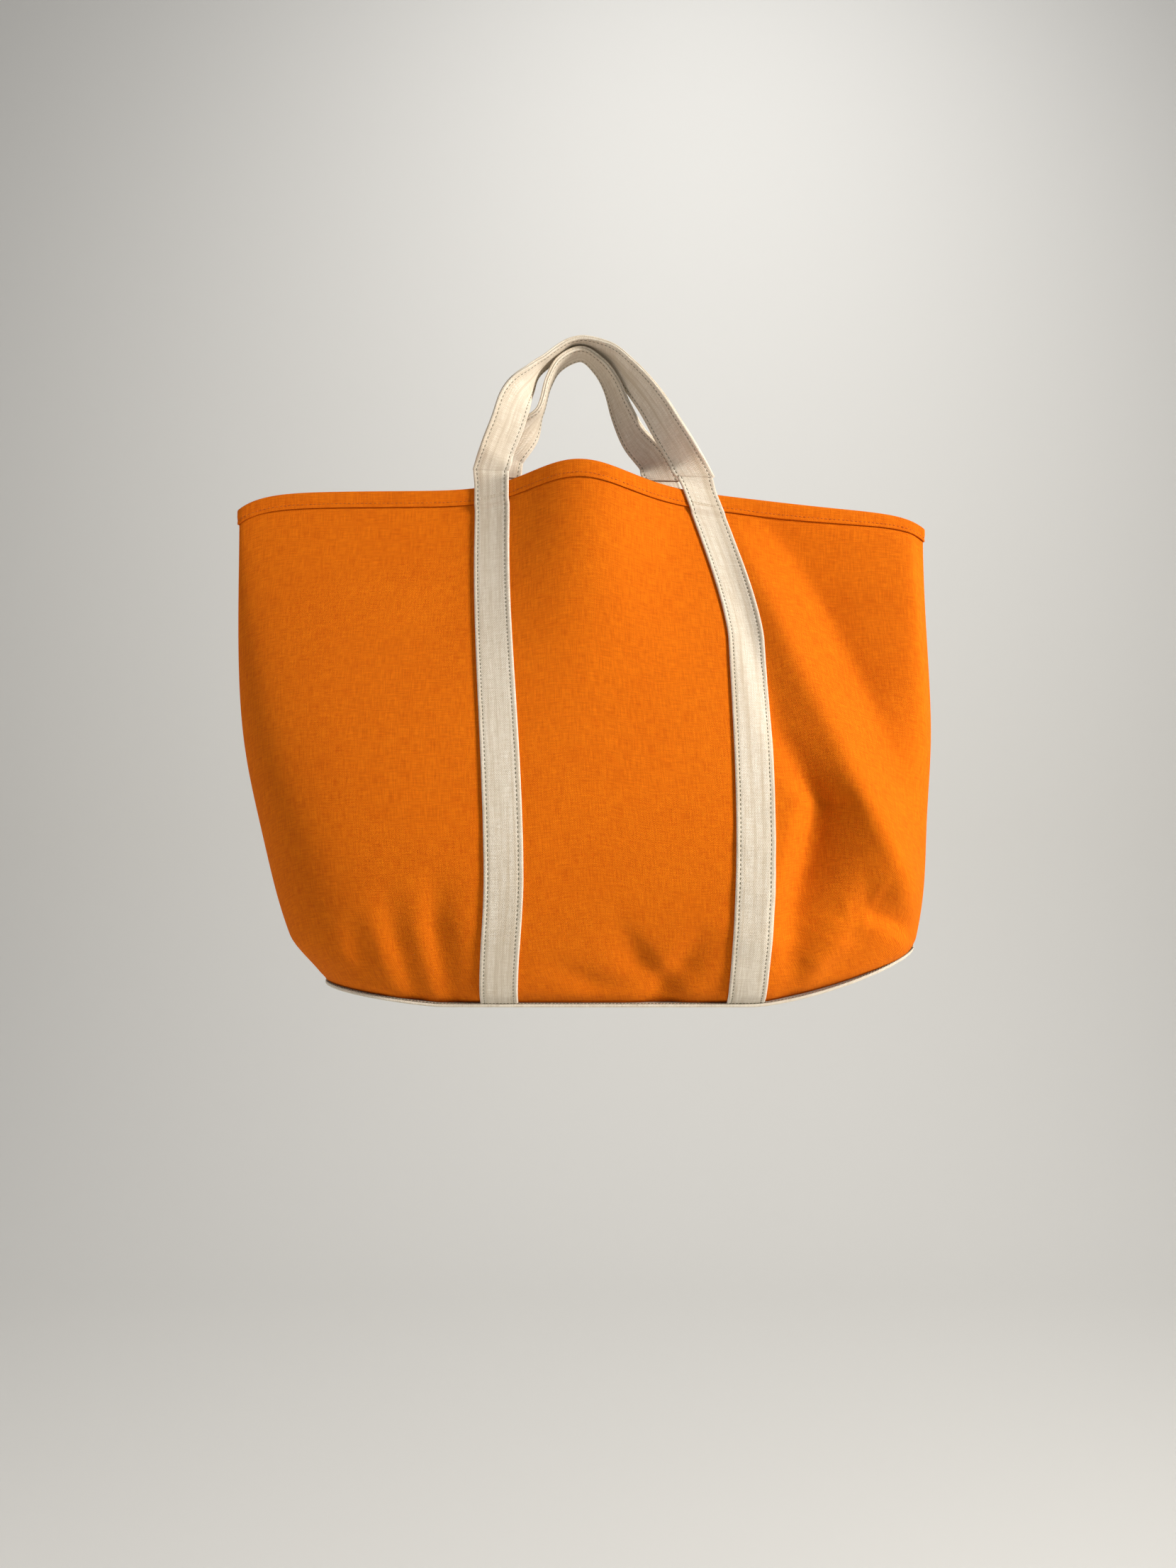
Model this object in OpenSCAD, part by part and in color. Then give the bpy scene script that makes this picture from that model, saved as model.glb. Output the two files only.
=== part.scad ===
// Canvas beach tote, hanging by its two handles with its back against a wall.
// Origin: the hang point, under the middle of the back handle. +X to the viewer's right, +Z up,
// -Y towards the viewer. The wall's face is the plane y = wall_y.

/* [Body] */
// Width of the bag across the rim
rim_width = 546; // [510:1:580]
// Height of the canvas body, from the rim's left shoulder to the base seam
body_height = 392; // [370:1:410]
// How far the rim's left shoulder lies below the hang point
rim_drop = 109; // [105:1:115]
// How far the front panel stands from the wall at its fullest
belly_depth = 120; // [105:1:130]
// How far the front panel stands from the wall at the base seam
base_depth = 82; // [75:1:95]
// How far the front panel stands from the wall at the rim
rim_depth = 22; // [18:1:26]
// Extra depth where the rim buckles forward between the straps
rim_buckle = 34; // [25:1:40]
// How much the left side comes in from the rim to the base
left_taper = 62; // [50:1:70]
// How much further in the left corner is cut
corner_cut = 12; // [8:1:16]
// How much the right side comes in from the rim to the base
right_taper = 14; // [8:1:25]
// How much both sides draw in above the corners
side_draw = 4; // [0:0.5:6]
// Thickness of the canvas
canvas = 1.4; // [1.2:0.1:1.6]
// Thickness of the doubled base
base_thickness = 3; // [2.5:0.1:3.5]

/* [Rim and seams] */
// Height of the folded rim band
band_height = 12; // [10:1:14]
// Width of the tape that binds the seams inside
binding_width = 10; // [8:1:12]
// Thickness of the bound seams
binding_thickness = 2; // [1.6:0.1:2.4]

/* [Straps and handles] */
// Width of the straps
strap_width = 28; // [25:1:30]
// Thickness of a strap where it is sewn down
strap_thickness = 2; // [1.6:0.1:2.2]
// Thickness of each of the two canvas layers of a handle
layer_thickness = 1.6; // [1.4:0.1:1.7]
// Height of the handles' hinge lines above the rim
hinge_rise = 12; // [11:0.5:13]
// Free height between the back handle and the front handle at the hang point
handle_gap = 5; // [4.8:0.1:5.5]

/* [Hidden] */

orange = "#de7006";
cream = "#d7cdbe";
binding_colour = "#c9bda8";

// Which panel a point belongs to
FRONT = 1;
BACK = -1;

// The wall stands this far behind the hang point
wall_y = 20;
// The back panel stands this far from the wall, to leave room for its straps
back_stand = 6.5;
half_rim = rim_width / 2;
// Clearance between pieces that are sewn together
seam_gap = 0.15;
// Clearance between a strap and the curved panel under it
strap_gap = 0.5;
// The sewn straps end this far below the hinge lines
stub_gap = 4;
// Height of the body where it is fullest, as a share of the way down
belly_level = 0.72;
// Step for the numerical slopes of the skin
slope_step = 0.002;

function smooth(t) = let (c = min(max(t, 0), 1)) c * c * (3 - 2 * c);
function bump(x, middle, reach) = exp(-pow((x - middle) / reach, 2));
function unit(a) = a / norm(a);

// Across the bag a point is given by q, from -1 at the left side seam to 1 at the right one,
// and down it by v, from 0 at the rim to 1 at the base seam.
function left_x(v) =
    -(half_rim - left_taper * pow(max(v, 0), 2.4) - corner_cut * smooth((v - 0.9) / 0.1)
        - side_draw * bump(v, 0.7, 0.16));
function right_x(v) = half_rim - right_taper * pow(max(v, 0), 3) - side_draw * bump(v, 0.7, 0.16);
function x_at(q, v) = left_x(v) + (right_x(v) - left_x(v)) * (q + 1) / 2;
function q_at(x, v) = 2 * (x - left_x(v)) / (right_x(v) - left_x(v)) - 1;

// Height of the rim: level on the left, a crest between the straps, lower on the right
function rim_z(x) =
    -rim_drop - 15 * smooth((x - 40) / 210) + 16 * bump(x, -4, 50)
    - 12 * pow(min(abs(x) / half_rim, 1), 14);
// Height of the base seam: level between the straps, lifted at both corners
function base_z(x) =
    -rim_drop - body_height
    + (x < -105 ? 11 * pow((-105 - x) / 92, 1.2) : 0)
    + (x > 128 ? 38 * pow((x - 128) / 131, 1.45) : 0);
function z_at(q, v) = rim_z(x_at(q, 0)) * (1 - v) + base_z(x_at(q, 1)) * v;

// Distance of the front from the wall down the middle of the bag
function belly(v) =
    rim_depth + (belly_depth - rim_depth) * smooth(v / belly_level)
    - (belly_depth - base_depth) * pow(max(v - belly_level, 0) / (1 - belly_level), 2);
// Distance of the side seams from the wall
function side_out(v) = back_stand + 3 + 0.36 * (belly(v) - rim_depth);
// The panels' cross-section turns squarer towards the boxed base
function squareness(v) = 2.6 + 3.4 * v * v;
function crown(q, n) = sqrt(max(1 - pow(min(abs(q), 1), n), 0));
function front_out(q, v) =
    side_out(v) + (belly(v) - side_out(v)) * crown(q, squareness(v))
    + rim_buckle * bump(x_at(q, v), 5, 58) * (1 - smooth(v / 0.5));
function back_out(q, v) = back_stand + (side_out(v) - back_stand) * (1 - crown(q, 7));

// The canvas shell's outer skin. k runs from 0 at the left side seam to 1 at the right one,
// closely spaced round the side folds.
function q_of(k) = -cos(180 * k);
function k_of(q) = acos(-q) / 180;
function skin(side, k, v) =
    let (q = q_of(k))
    [x_at(q, v), wall_y - (side == FRONT ? front_out(q, v) : back_out(q, v)), z_at(q, v)];
function outward(side, k, v) =
    let (a = min(max(k, 2 * slope_step), 1 - 2 * slope_step),
         along = skin(side, a + slope_step, v) - skin(side, a - slope_step, v),
         down = skin(side, a, v + slope_step) - skin(side, a, v - slope_step))
    -side * unit(cross(along, down));
function lifted(side, k, v, lift) = skin(side, k, v) + lift * outward(side, k, v);
// The canvas is pressed thin where the two panels come together at the side seams
first_k = 0.008;
function room(k, v) = front_out(q_of(k), v) - back_out(q_of(k), v);
function pressed(k, v) = min(1, 0.45 * room(k, v) / (2 * canvas + 2 * seam_gap));

// Straps: the x of each strap's middle line
function left_strap_x(v) = -69 + 15 * smooth((v - 0.1) / 0.65) - 6 * smooth((v - 0.75) / 0.25);
function right_strap_x(v) = 93 + 33 * (1 - pow(max(1 - v / 0.3, 0), 1.5)) - 4 * v * v;
function back_left_strap_x(v) = -62 + 4 * v;
function back_right_strap_x(v) = 70 + 44 * (1 - pow(max(1 - v / 0.5, 0), 2));
// v that lies a distance below the rim
function v_below(distance) = distance / body_height;

// A closed sheet between two grids of points, each given row by row
module sheet(top, under, flip = false) {
    rows = len(top);
    cols = len(top[0]);
    count = rows * cols;
    function at(i, j) = i * cols + j;
    function below(i, j) = count + at(i, j);
    last_row = rows - 1;
    last_col = cols - 1;
    quads = concat(
        [for (i = [0:rows - 2], j = [0:cols - 2])
            [at(i, j), at(i, j + 1), at(i + 1, j + 1), at(i + 1, j)]],
        [for (i = [0:rows - 2], j = [0:cols - 2])
            [below(i, j), below(i + 1, j), below(i + 1, j + 1), below(i, j + 1)]],
        [for (j = [0:cols - 2]) [at(0, j), below(0, j), below(0, j + 1), at(0, j + 1)]],
        [for (j = [0:cols - 2])
            [at(last_row, j), at(last_row, j + 1), below(last_row, j + 1), below(last_row, j)]],
        [for (i = [0:rows - 2]) [at(i, 0), at(i + 1, 0), below(i + 1, 0), below(i, 0)]],
        [for (i = [0:rows - 2])
            [at(i, last_col), below(i, last_col), below(i + 1, last_col), at(i + 1, last_col)]]);
    triangles = [for (q = quads) each [[q[0], q[1], q[2]], [q[0], q[2], q[3]]]];
    points = concat([for (row = top) each row], [for (row = under) each row]);
    polyhedron(points, flip ? [for (t = triangles) [t[2], t[1], t[0]]] : triangles);
}

// A piece of the shell between two lifts from the skin, which are functions of k and v.
// left and right give k for a v, and levels lists the rows' values of v.
module patch(side, left, right, levels, inner, outer, cols) {
    function grid(lift) = [
        for (v = levels) [
            for (j = [0:cols])
                let (k = left(v) + (right(v) - left(v)) * j / cols)
                lifted(side, k, v, lift(k, v))
        ]
    ];
    sheet(grid(outer), grid(inner), side == BACK);
}

function spaced(first, last, steps) = [for (i = [0:steps]) first + (last - first) * i / steps];
// k a distance to one side of a strap's middle line
function strap_edge(middle, offset) = function (v) k_of(q_at(middle(v) + offset, v));
function at_k(value) = function (v) value;
function lift_by(value) = function (k, v) value;

module sewn_strap(side, middle) {
    // The strap starts above the rim, runs over the rim band, then steps down on to the panel
    step_start = v_below(band_height + 0.5);
    step_end = v_below(band_height + 8);
    base = function (k, v)
        strap_gap
        + (canvas + seam_gap) * (1 - smooth((v - step_start) / (step_end - step_start)));
    levels = concat(
        spaced(-v_below(hinge_rise - stub_gap), step_start, 10),
        spaced(step_start + v_below(2), step_end, 3),
        spaced(step_end + 0.03, 0.998, 26));
    // Above the rim the strap turns straight, to end along the hinge line
    straight_start = v_below(1.5);
    straight_reach = v_below(hinge_rise - stub_gap) - straight_start;
    hinge = side == FRONT ? front_hinge : back_hinge;
    function grid(lift) = [
        for (v = levels)
            let (middle_point = lifted(side, k_of(q_at(middle(v), v)), v, lift(0, v)),
                 straight = smooth((-straight_start - v) / straight_reach))
            [for (j = [-2:2])
                let (offset = j * strap_width / 4,
                     on_skin = lifted(side, k_of(q_at(middle(v) + offset, v)), v, lift(0, v)))
                on_skin * (1 - straight) + (middle_point + offset * hinge) * straight]
    ];
    sheet(grid(function (k, v) base(k, v) + strap_thickness), grid(base), side == BACK);
}

module panel(side, cols, rows) {
    color(orange) patch(side, at_k(first_k), at_k(1 - first_k), spaced(0.003, 0.999, rows),
        function (k, v) -canvas * pressed(k, v), lift_by(0), cols);
}

module front_panel() { panel(FRONT, 56, 26); }
module back_panel() { panel(BACK, 28, 16); }

// The base as a strip of doubled canvas that follows the lifted corners
module base_panel() {
    inset = 1;
    left_end = left_x(1) + inset;
    right_end = right_x(1) - inset;
    steps = 28;
    function x_of(i) = left_end + (right_end - left_end) * i / steps;
    top = [for (i = [0:steps]) [x_of(i), base_z(x_of(i)) - seam_gap]];
    under = [for (i = [steps:-1:0]) [x_of(i), base_z(x_of(i)) - seam_gap - base_thickness]];
    function edge(side, i) =
        let (p = skin(side, k_of(q_at(x_of(i), 1)), 1)) [p[0], p[1] + side * inset];
    plan = concat(
        [for (i = [0:steps]) edge(FRONT, i)],
        [for (i = [steps:-1:0]) edge(BACK, i)]);
    color(cream) intersection() {
        translate([0, wall_y, 0]) rotate([90, 0, 0]) linear_extrude(2 * belly_depth)
            polygon(concat(top, under));
        translate([0, 0, -2 * body_height]) linear_extrude(2 * body_height) polygon(plan);
    }
}

// A rim band is a strip folded over the panel's upper edge, with a U-shaped section
module rim_band(side) {
    steps = 56;
    low = v_below(band_height);
    crest = -v_below(canvas);
    out_near = seam_gap;
    out_far = seam_gap + canvas;
    in_near = -canvas - seam_gap;
    in_far = -2 * canvas - seam_gap;
    section = [
        [out_far, low], [out_far, crest], [in_far, crest], [in_far, low],
        [in_near, low], [in_near, 0], [out_near, 0], [out_near, low]
    ];
    corners = len(section);
    points = [
        for (k = spaced(first_k, 1 - first_k, steps), s = section)
            lifted(side, k, s[1], s[0] < 0 ? s[0] * pressed(k, s[1]) : s[0])
    ];
    walls = [
        for (i = [0:steps - 1], c = [0:corners - 1])
            let (d = (c + 1) % corners, a = i * corners, b = a + corners)
            [a + c, b + c, b + d, a + d]
    ];
    end = steps * corners;
    caps = [
        for (c = [[0, 1, 6, 7], [1, 2, 5, 6], [2, 3, 4, 5]])
            each [c, [end + c[3], end + c[2], end + c[1], end + c[0]]]
    ];
    triangles = [for (q = concat(walls, caps)) each [[q[0], q[1], q[2]], [q[0], q[2], q[3]]]];
    color(orange)
        polyhedron(points, side == BACK ? triangles : [for (t = triangles) [t[2], t[1], t[0]]]);
}

// Bound seam allowances lie flat against the inside of the shell
bound_outer = -canvas - 0.3;
bound_inner = bound_outer - binding_thickness;
bound_top = v_below(band_height + 4);
bound_low = 1 - v_below(binding_width + 1);
corner_k = 0.06;

seam_levels = [bound_low, 0.996];

module side_seam_binding(first, last) {
    color(binding_colour) patch(FRONT, at_k(first), at_k(last),
        spaced(bound_top, bound_low - 0.004, 24),
        function (k, v) bound_inner * pressed(k, v), function (k, v) bound_outer * pressed(k, v), 3);
}

module base_seam_binding(side) {
    color(binding_colour) patch(side, at_k(corner_k), at_k(1 - corner_k), seam_levels,
        lift_by(bound_inner), lift_by(bound_outer), 28);
}

module corner_seam_binding(first, last) {
    color(binding_colour) for (side = [FRONT, BACK])
        patch(side, at_k(first), at_k(last), seam_levels,
            lift_by(bound_inner), lift_by(bound_outer), 5);
}

// A bar of dense stitches across each strap, on the rim band's lower edge
module bartack(side, middle) {
    half_bar = strap_width / 2 - 4;
    bar_bottom = strap_gap + canvas + seam_gap + strap_thickness + 0.05;
    patch(side, strap_edge(middle, -half_bar), strap_edge(middle, half_bar),
        [v_below(band_height - 4), v_below(band_height - 2)],
        lift_by(bar_bottom), lift_by(bar_bottom + 0.6), 4);
}

module rim_bartacks() {
    color(binding_colour) {
        bartack(FRONT, function (v) left_strap_x(v));
        bartack(FRONT, function (v) right_strap_x(v));
        bartack(BACK, function (v) back_left_strap_x(v));
        bartack(BACK, function (v) back_right_strap_x(v));
    }
}

// Handles. A handle's legs start on its hinge line, hinge_rise above the rim at each strap.
foot_v = -v_below(hinge_rise);
foot_lift = strap_gap + canvas + seam_gap + strap_thickness / 2;
function leg_foot(side, x) = lifted(side, k_of(q_at(x, foot_v)), foot_v, foot_lift);
front_left_foot = leg_foot(FRONT, left_strap_x(foot_v));
front_right_foot = leg_foot(FRONT, right_strap_x(foot_v));
back_left_foot = leg_foot(BACK, back_left_strap_x(foot_v));
back_right_foot = leg_foot(BACK, back_right_strap_x(foot_v));

front_hinge = unit(front_right_foot - front_left_foot);
back_hinge = unit(back_right_foot - back_left_foot);

handle_thickness = 2 * layer_thickness + 0.1;
// Heights of the handles' middle surfaces over the hang point
back_top = handle_thickness / 2;
front_top = 1.5 * handle_thickness + handle_gap;

// Middle lines of the loops between their feet. The sixth point is the crest.
front_loop = [[-65, -13, -79], [-58, -13.5, -60], [-52, -13, -40], [-44, -9, -20], [-30, -6, -3],
    [-1, -4, front_top],
    [23, -6, 0], [41.5, -9.5, -20], [58.5, -13, -42], [71.5, -13.5, -66], [80, -11.5, -84]];
back_loop = [[-53, 10.8, -76], [-40, 9.5, -56], [-29.5, 7.5, -37], [-25, 4.5, -20], [-15, 4, -5],
    [0, 3, back_top],
    [13.5, 4.5, -7], [24.5, 5.5, -24], [34.5, 6.2, -45], [46, 8.2, -64], [57, 10.8, -81]];

// Catmull-Rom curve through a list of points
function curve(p, t) =
    let (n = len(p) - 1, s = min(max(t * n, 0), n - 0.000001), i = floor(s), f = s - i,
         a = p[max(i - 1, 0)], b = p[i], c = p[i + 1], d = p[min(i + 2, n)])
    0.5 * (2 * b + (c - a) * f + (2 * a - 5 * b + 4 * c - d) * f * f
        + (3 * b - a - 3 * c + d) * f * f * f);

// How far a handle is turned about its own length: flat to the viewer at its feet, turned a quarter
// at the legs' roots, and lying level over the hang point
root_turn = 27;
root_reach = 0.08;
crest_t = 0.5;
function turn(t) =
    t < crest_t
        ? root_turn * smooth(t / root_reach) + (90 - root_turn) * smooth((t - 0.17) / 0.2)
        : root_turn * smooth((1 - t) / root_reach)
            + (90 - root_turn) * pow((1 - t) / (1 - crest_t), 1.3);

// One layer of a handle. The side that faces the viewer at its feet turns to lie under the hang point.
module handle_layer(left, right, loop, lift_a, lift_b) {
    steps = 64;
    path = concat([left], loop, [right]);
    function at(t) = curve(path, t);
    // The legs end on the hinge line, so their ends are cut along it
    hinge_line = unit(right - left);
    cut_reach = 0.09;
    function frame(t) =
        let (along = unit(at(min(t + 0.01, 1)) - at(max(t - 0.01, 0))),
             out = unit(cross(along, [0, 1, 0])),
             facing = unit(cross(along, out)),
             normal = cos(turn(t)) * facing - sin(turn(t)) * out,
             across = unit(cross(along, normal)),
             sense = across * hinge_line > 0 ? 1 : -1,
             slant = hinge_line * sense / norm(cross(hinge_line, along)),
             cut = 1 - smooth(min(t, 1 - t) / cut_reach))
        [at(t), normal, across * (1 - cut) + slant * cut];
    function row(lift) = [
        for (i = [0:steps])
            let (f = frame(i / steps))
            [for (w = [-0.5, 0.5]) f[0] + f[1] * lift + f[2] * w * strap_width]
    ];
    sheet(row(lift_a), row(lift_b));
}

module front_handle_layer(lift_a, lift_b) {
    color(cream) handle_layer(front_left_foot, front_right_foot, front_loop, lift_a, lift_b);
}

module back_handle_layer(lift_a, lift_b) {
    color(cream) handle_layer(back_left_foot, back_right_foot, back_loop, lift_a, lift_b);
}

module front_left_strap() { color(cream) sewn_strap(FRONT, function (v) left_strap_x(v)); }
module front_right_strap() { color(cream) sewn_strap(FRONT, function (v) right_strap_x(v)); }
module back_left_strap() { color(cream) sewn_strap(BACK, function (v) back_left_strap_x(v)); }
module back_right_strap() { color(cream) sewn_strap(BACK, function (v) back_right_strap_x(v)); }
module front_rim_band() { rim_band(FRONT); }
module back_rim_band() { rim_band(BACK); }
module left_side_seam_binding() { side_seam_binding(0.012, 0.058); }
module right_side_seam_binding() { side_seam_binding(0.942, 0.988); }
module front_base_seam_binding() { base_seam_binding(FRONT); }
module back_base_seam_binding() { base_seam_binding(BACK); }
module left_corner_seam_binding() { corner_seam_binding(0.006, corner_k - 0.002); }
module right_corner_seam_binding() { corner_seam_binding(1.002 - corner_k, 0.994); }
module front_handle_outer() { front_handle_layer(0.05, 0.05 + layer_thickness); }
module front_handle_lining() { front_handle_layer(-0.05 - layer_thickness, -0.05); }
module back_handle_outer() { back_handle_layer(-0.05 - layer_thickness, -0.05); }
module back_handle_lining() { back_handle_layer(0.05, 0.05 + layer_thickness); }

front_panel();
back_panel();
base_panel();
front_rim_band();
back_rim_band();
front_left_strap();
front_right_strap();
back_left_strap();
back_right_strap();
left_side_seam_binding();
right_side_seam_binding();
front_base_seam_binding();
back_base_seam_binding();
left_corner_seam_binding();
right_corner_seam_binding();
rim_bartacks();
front_handle_outer();
front_handle_lining();
back_handle_outer();
back_handle_lining();
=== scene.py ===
"""A wide canvas boat tote as it hangs by both handles: its cloth, stitching and materials.

Shapes are worked out in millimetres and turned into metres when a mesh is made.
Axes: +X to the viewer's right, -Y towards the viewer, +Z up, the hang point at the origin.
"""

import math

import bmesh
import bpy
import numpy as np
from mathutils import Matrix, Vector


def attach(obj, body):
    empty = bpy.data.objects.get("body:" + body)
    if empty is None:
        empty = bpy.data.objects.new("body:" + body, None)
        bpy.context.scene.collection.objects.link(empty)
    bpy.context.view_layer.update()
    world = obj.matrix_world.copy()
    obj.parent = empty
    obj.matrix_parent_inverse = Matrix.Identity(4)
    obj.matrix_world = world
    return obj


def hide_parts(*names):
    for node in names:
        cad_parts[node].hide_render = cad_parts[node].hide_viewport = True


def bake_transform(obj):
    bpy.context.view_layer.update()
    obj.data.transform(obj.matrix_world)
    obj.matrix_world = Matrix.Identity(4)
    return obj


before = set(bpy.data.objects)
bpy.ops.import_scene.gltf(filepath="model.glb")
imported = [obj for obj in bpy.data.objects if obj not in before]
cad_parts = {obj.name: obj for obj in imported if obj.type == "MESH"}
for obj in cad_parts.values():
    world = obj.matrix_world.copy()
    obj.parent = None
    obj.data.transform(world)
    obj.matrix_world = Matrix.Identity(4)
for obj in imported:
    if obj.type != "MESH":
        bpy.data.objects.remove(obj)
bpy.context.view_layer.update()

MM = 0.001
FRONT, BACK = 1, -1

# ---------------------------------------------------------------- sizes of the bag, as in the part

HALF_RIM = 273.0
BODY_HEIGHT = 392.0
RIM_DROP = 109.0
WALL = 20.0
BACK_STAND = 6.5
RIM_DEPTH, BELLY_DEPTH, BASE_DEPTH = 22.0, 120.0, 82.0
RIM_BUCKLE = 34.0
LEFT_TAPER, RIGHT_TAPER, CORNER_CUT, SIDE_DRAW = 62.0, 14.0, 12.0, 4.0
BELLY_LEVEL = 0.72
CANVAS = 1.4
BAND_HEIGHT = 12.0
STRAP_WIDTH = 28.0
STRAP_THICKNESS = 2.0
LAYER = 1.6
HINGE_RISE = 12.0

# Stitch rows: how far from a strap's middle line, and how far above the hem's lower edge
STRAP_ROW = 10.8
HEM_ROW = 3.2
# Half a handle layer and half the space between its two layers
LAYER_OFFSET = LAYER / 2 + 0.05
# k of the first full column of cloth, and of the closed seam beside it
FIRST_K = 0.008
SEAM_K = 0.0005


def smooth(t):
    c = np.clip(t, 0, 1)
    return c * c * (3 - 2 * c)


def bump(x, middle, reach):
    return np.exp(-(((x - middle) / reach) ** 2))


def unit(a):
    return a / np.maximum(np.linalg.norm(a, axis=-1, keepdims=True), 1e-9)


# ---------------------------------------------------------------- the hanging shell
# q runs from -1 at the left side seam to 1 at the right one, v from 0 at the rim to 1 at the base seam


def left_x(v):
    taper = LEFT_TAPER * np.maximum(v, 0) ** 2.4 + CORNER_CUT * smooth((v - 0.9) / 0.1)
    return -(HALF_RIM - taper - SIDE_DRAW * bump(v, 0.7, 0.16))


def right_x(v):
    return HALF_RIM - RIGHT_TAPER * np.maximum(v, 0) ** 3 - SIDE_DRAW * bump(v, 0.7, 0.16)


def x_at(q, v):
    return left_x(v) + (right_x(v) - left_x(v)) * (q + 1) / 2


def q_at(x, v):
    return 2 * (x - left_x(v)) / (right_x(v) - left_x(v)) - 1


def rim_z(x):
    return (
        -RIM_DROP
        - 15 * smooth((x - 40) / 210)
        + 16 * bump(x, -4, 50)
        - 12 * np.minimum(np.abs(x) / HALF_RIM, 1) ** 14
    )


def base_z(x):
    return (
        -RIM_DROP
        - BODY_HEIGHT
        + 11 * (np.maximum(-105 - x, 0) / 92) ** 1.2
        + 38 * (np.maximum(x - 128, 0) / 131) ** 1.45
    )


def z_at(q, v):
    return rim_z(x_at(q, 0)) * (1 - v) + base_z(x_at(q, 1)) * v


def belly(v):
    return (
        RIM_DEPTH
        + (BELLY_DEPTH - RIM_DEPTH) * smooth(v / BELLY_LEVEL)
        - (BELLY_DEPTH - BASE_DEPTH) * (np.maximum(v - BELLY_LEVEL, 0) / (1 - BELLY_LEVEL)) ** 2
    )


def side_out(v):
    return BACK_STAND + 3 + 0.36 * (belly(v) - RIM_DEPTH)


def crown(q, n):
    return np.sqrt(np.maximum(1 - np.minimum(np.abs(q), 1) ** n, 0))


def front_out(q, v):
    squareness = 2.6 + 3.4 * v * v
    return (
        side_out(v)
        + (belly(v) - side_out(v)) * crown(q, squareness)
        + RIM_BUCKLE * bump(x_at(q, v), 5, 58) * (1 - smooth(v / 0.5))
    )


def back_out(q, v):
    return BACK_STAND + (side_out(v) - BACK_STAND) * (1 - crown(q, 7))


def q_of(k):
    return -np.cos(np.pi * k)


def k_of(q):
    return np.arccos(np.clip(-q, -1, 1)) / np.pi


def bare(side, k, v):
    """The shell's outer skin before its folds, for arrays of k and v."""
    q = q_of(k)
    out = front_out(q, v) if side == FRONT else back_out(q, v)
    return np.stack([x_at(q, v), WALL - out, z_at(q, v)], -1)


# ---------------------------------------------------------------- folds of the front


def ridge(x, z, line, heights, left_width, right_width):
    """A fold along a line of (x, z) points. Its height and its widths to both sides change along it."""
    line = np.array(line, float)
    start, end = line[:-1], line[1:]
    lengths = np.linalg.norm(end - start, axis=1)
    marks = np.concatenate([[0], np.cumsum(lengths)]) / lengths.sum()
    best = np.full(x.shape, 1e9)
    side = np.zeros(x.shape)
    along = np.zeros(x.shape)
    for i, (a, b) in enumerate(zip(start, end)):
        d = b - a
        t = np.clip(((x - a[0]) * d[0] + (z - a[1]) * d[1]) / (d @ d), 0, 1)
        px, pz = x - a[0] - t * d[0], z - a[1] - t * d[1]
        distance = np.hypot(px, pz)
        near = distance < best
        best = np.where(near, distance, best)
        side = np.where(near, np.sign(d[1] * px - d[0] * pz), side)
        along = np.where(near, marks[i] + t * (marks[i + 1] - marks[i]), along)
    steps = np.linspace(0, 1, len(heights))
    height = np.interp(along, steps, heights)
    width = np.where(side < 0, np.interp(along, steps, left_width), np.interp(along, steps, right_width))
    return height * np.exp(-((best / width) ** 2))


# The long fold on the right, level by level down the bag: z, the valley's x and depth, the crest's x
# and height, the hollow's x and depth beyond it, and how far the side seam stands out
LONG_FOLD = np.array([
    (-120, 100, 0, 112, 0, 140, 2, 3),
    (-150, 111, 1, 126, 2, 162, 9, 7),
    (-200, 124, 3, 147, 8, 189, 14, 11),
    (-264, 138, 5, 168, 12, 213, 12, 10),
    (-300, 145, 6, 183, 14, 224, 7, 5),
    (-329, 158, 8, 194, 16, 233, 3, 1),
    (-352, 171, 13, 204, 19, 240, 0, 0),
    (-382, 163, 18, 220, 22, 250, 0, 0),
    (-408, 156, 20, 234, 21, 258, 0, 0),
    (-430, 152, 18, 240, 17, 262, 0, 0),
    (-448, 152, 14, 240, 9, 262, 0, 0),
    (-482, 155, 5, 240, 2, 262, 0, 0),
], float)


def long_fold(x, z):
    """The lift of the long fold: straight flanks between its valley, crest, hollow and side seam."""
    level = [np.interp(-z, -LONG_FOLD[:, 0], LONG_FOLD[:, i]) for i in range(1, 8)]
    valley, depth, crest, height, hollow, sunk, seam = level
    places = [valley - 13, valley, crest, hollow, 257 + 0 * z]
    heights = [0 * z, -depth, height, -sunk, seam]
    lift = 0
    for offset, share in ((-8, 0.12), (-4, 0.23), (0, 0.30), (4, 0.23), (8, 0.12)):
        for near, far, low, high in zip(places, places[1:], heights, heights[1:]):
            rise = np.clip((x + offset - near) / np.maximum(far - near, 4), 0, 1)
            lift = lift + share * (high - low) * rise
    return lift


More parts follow.
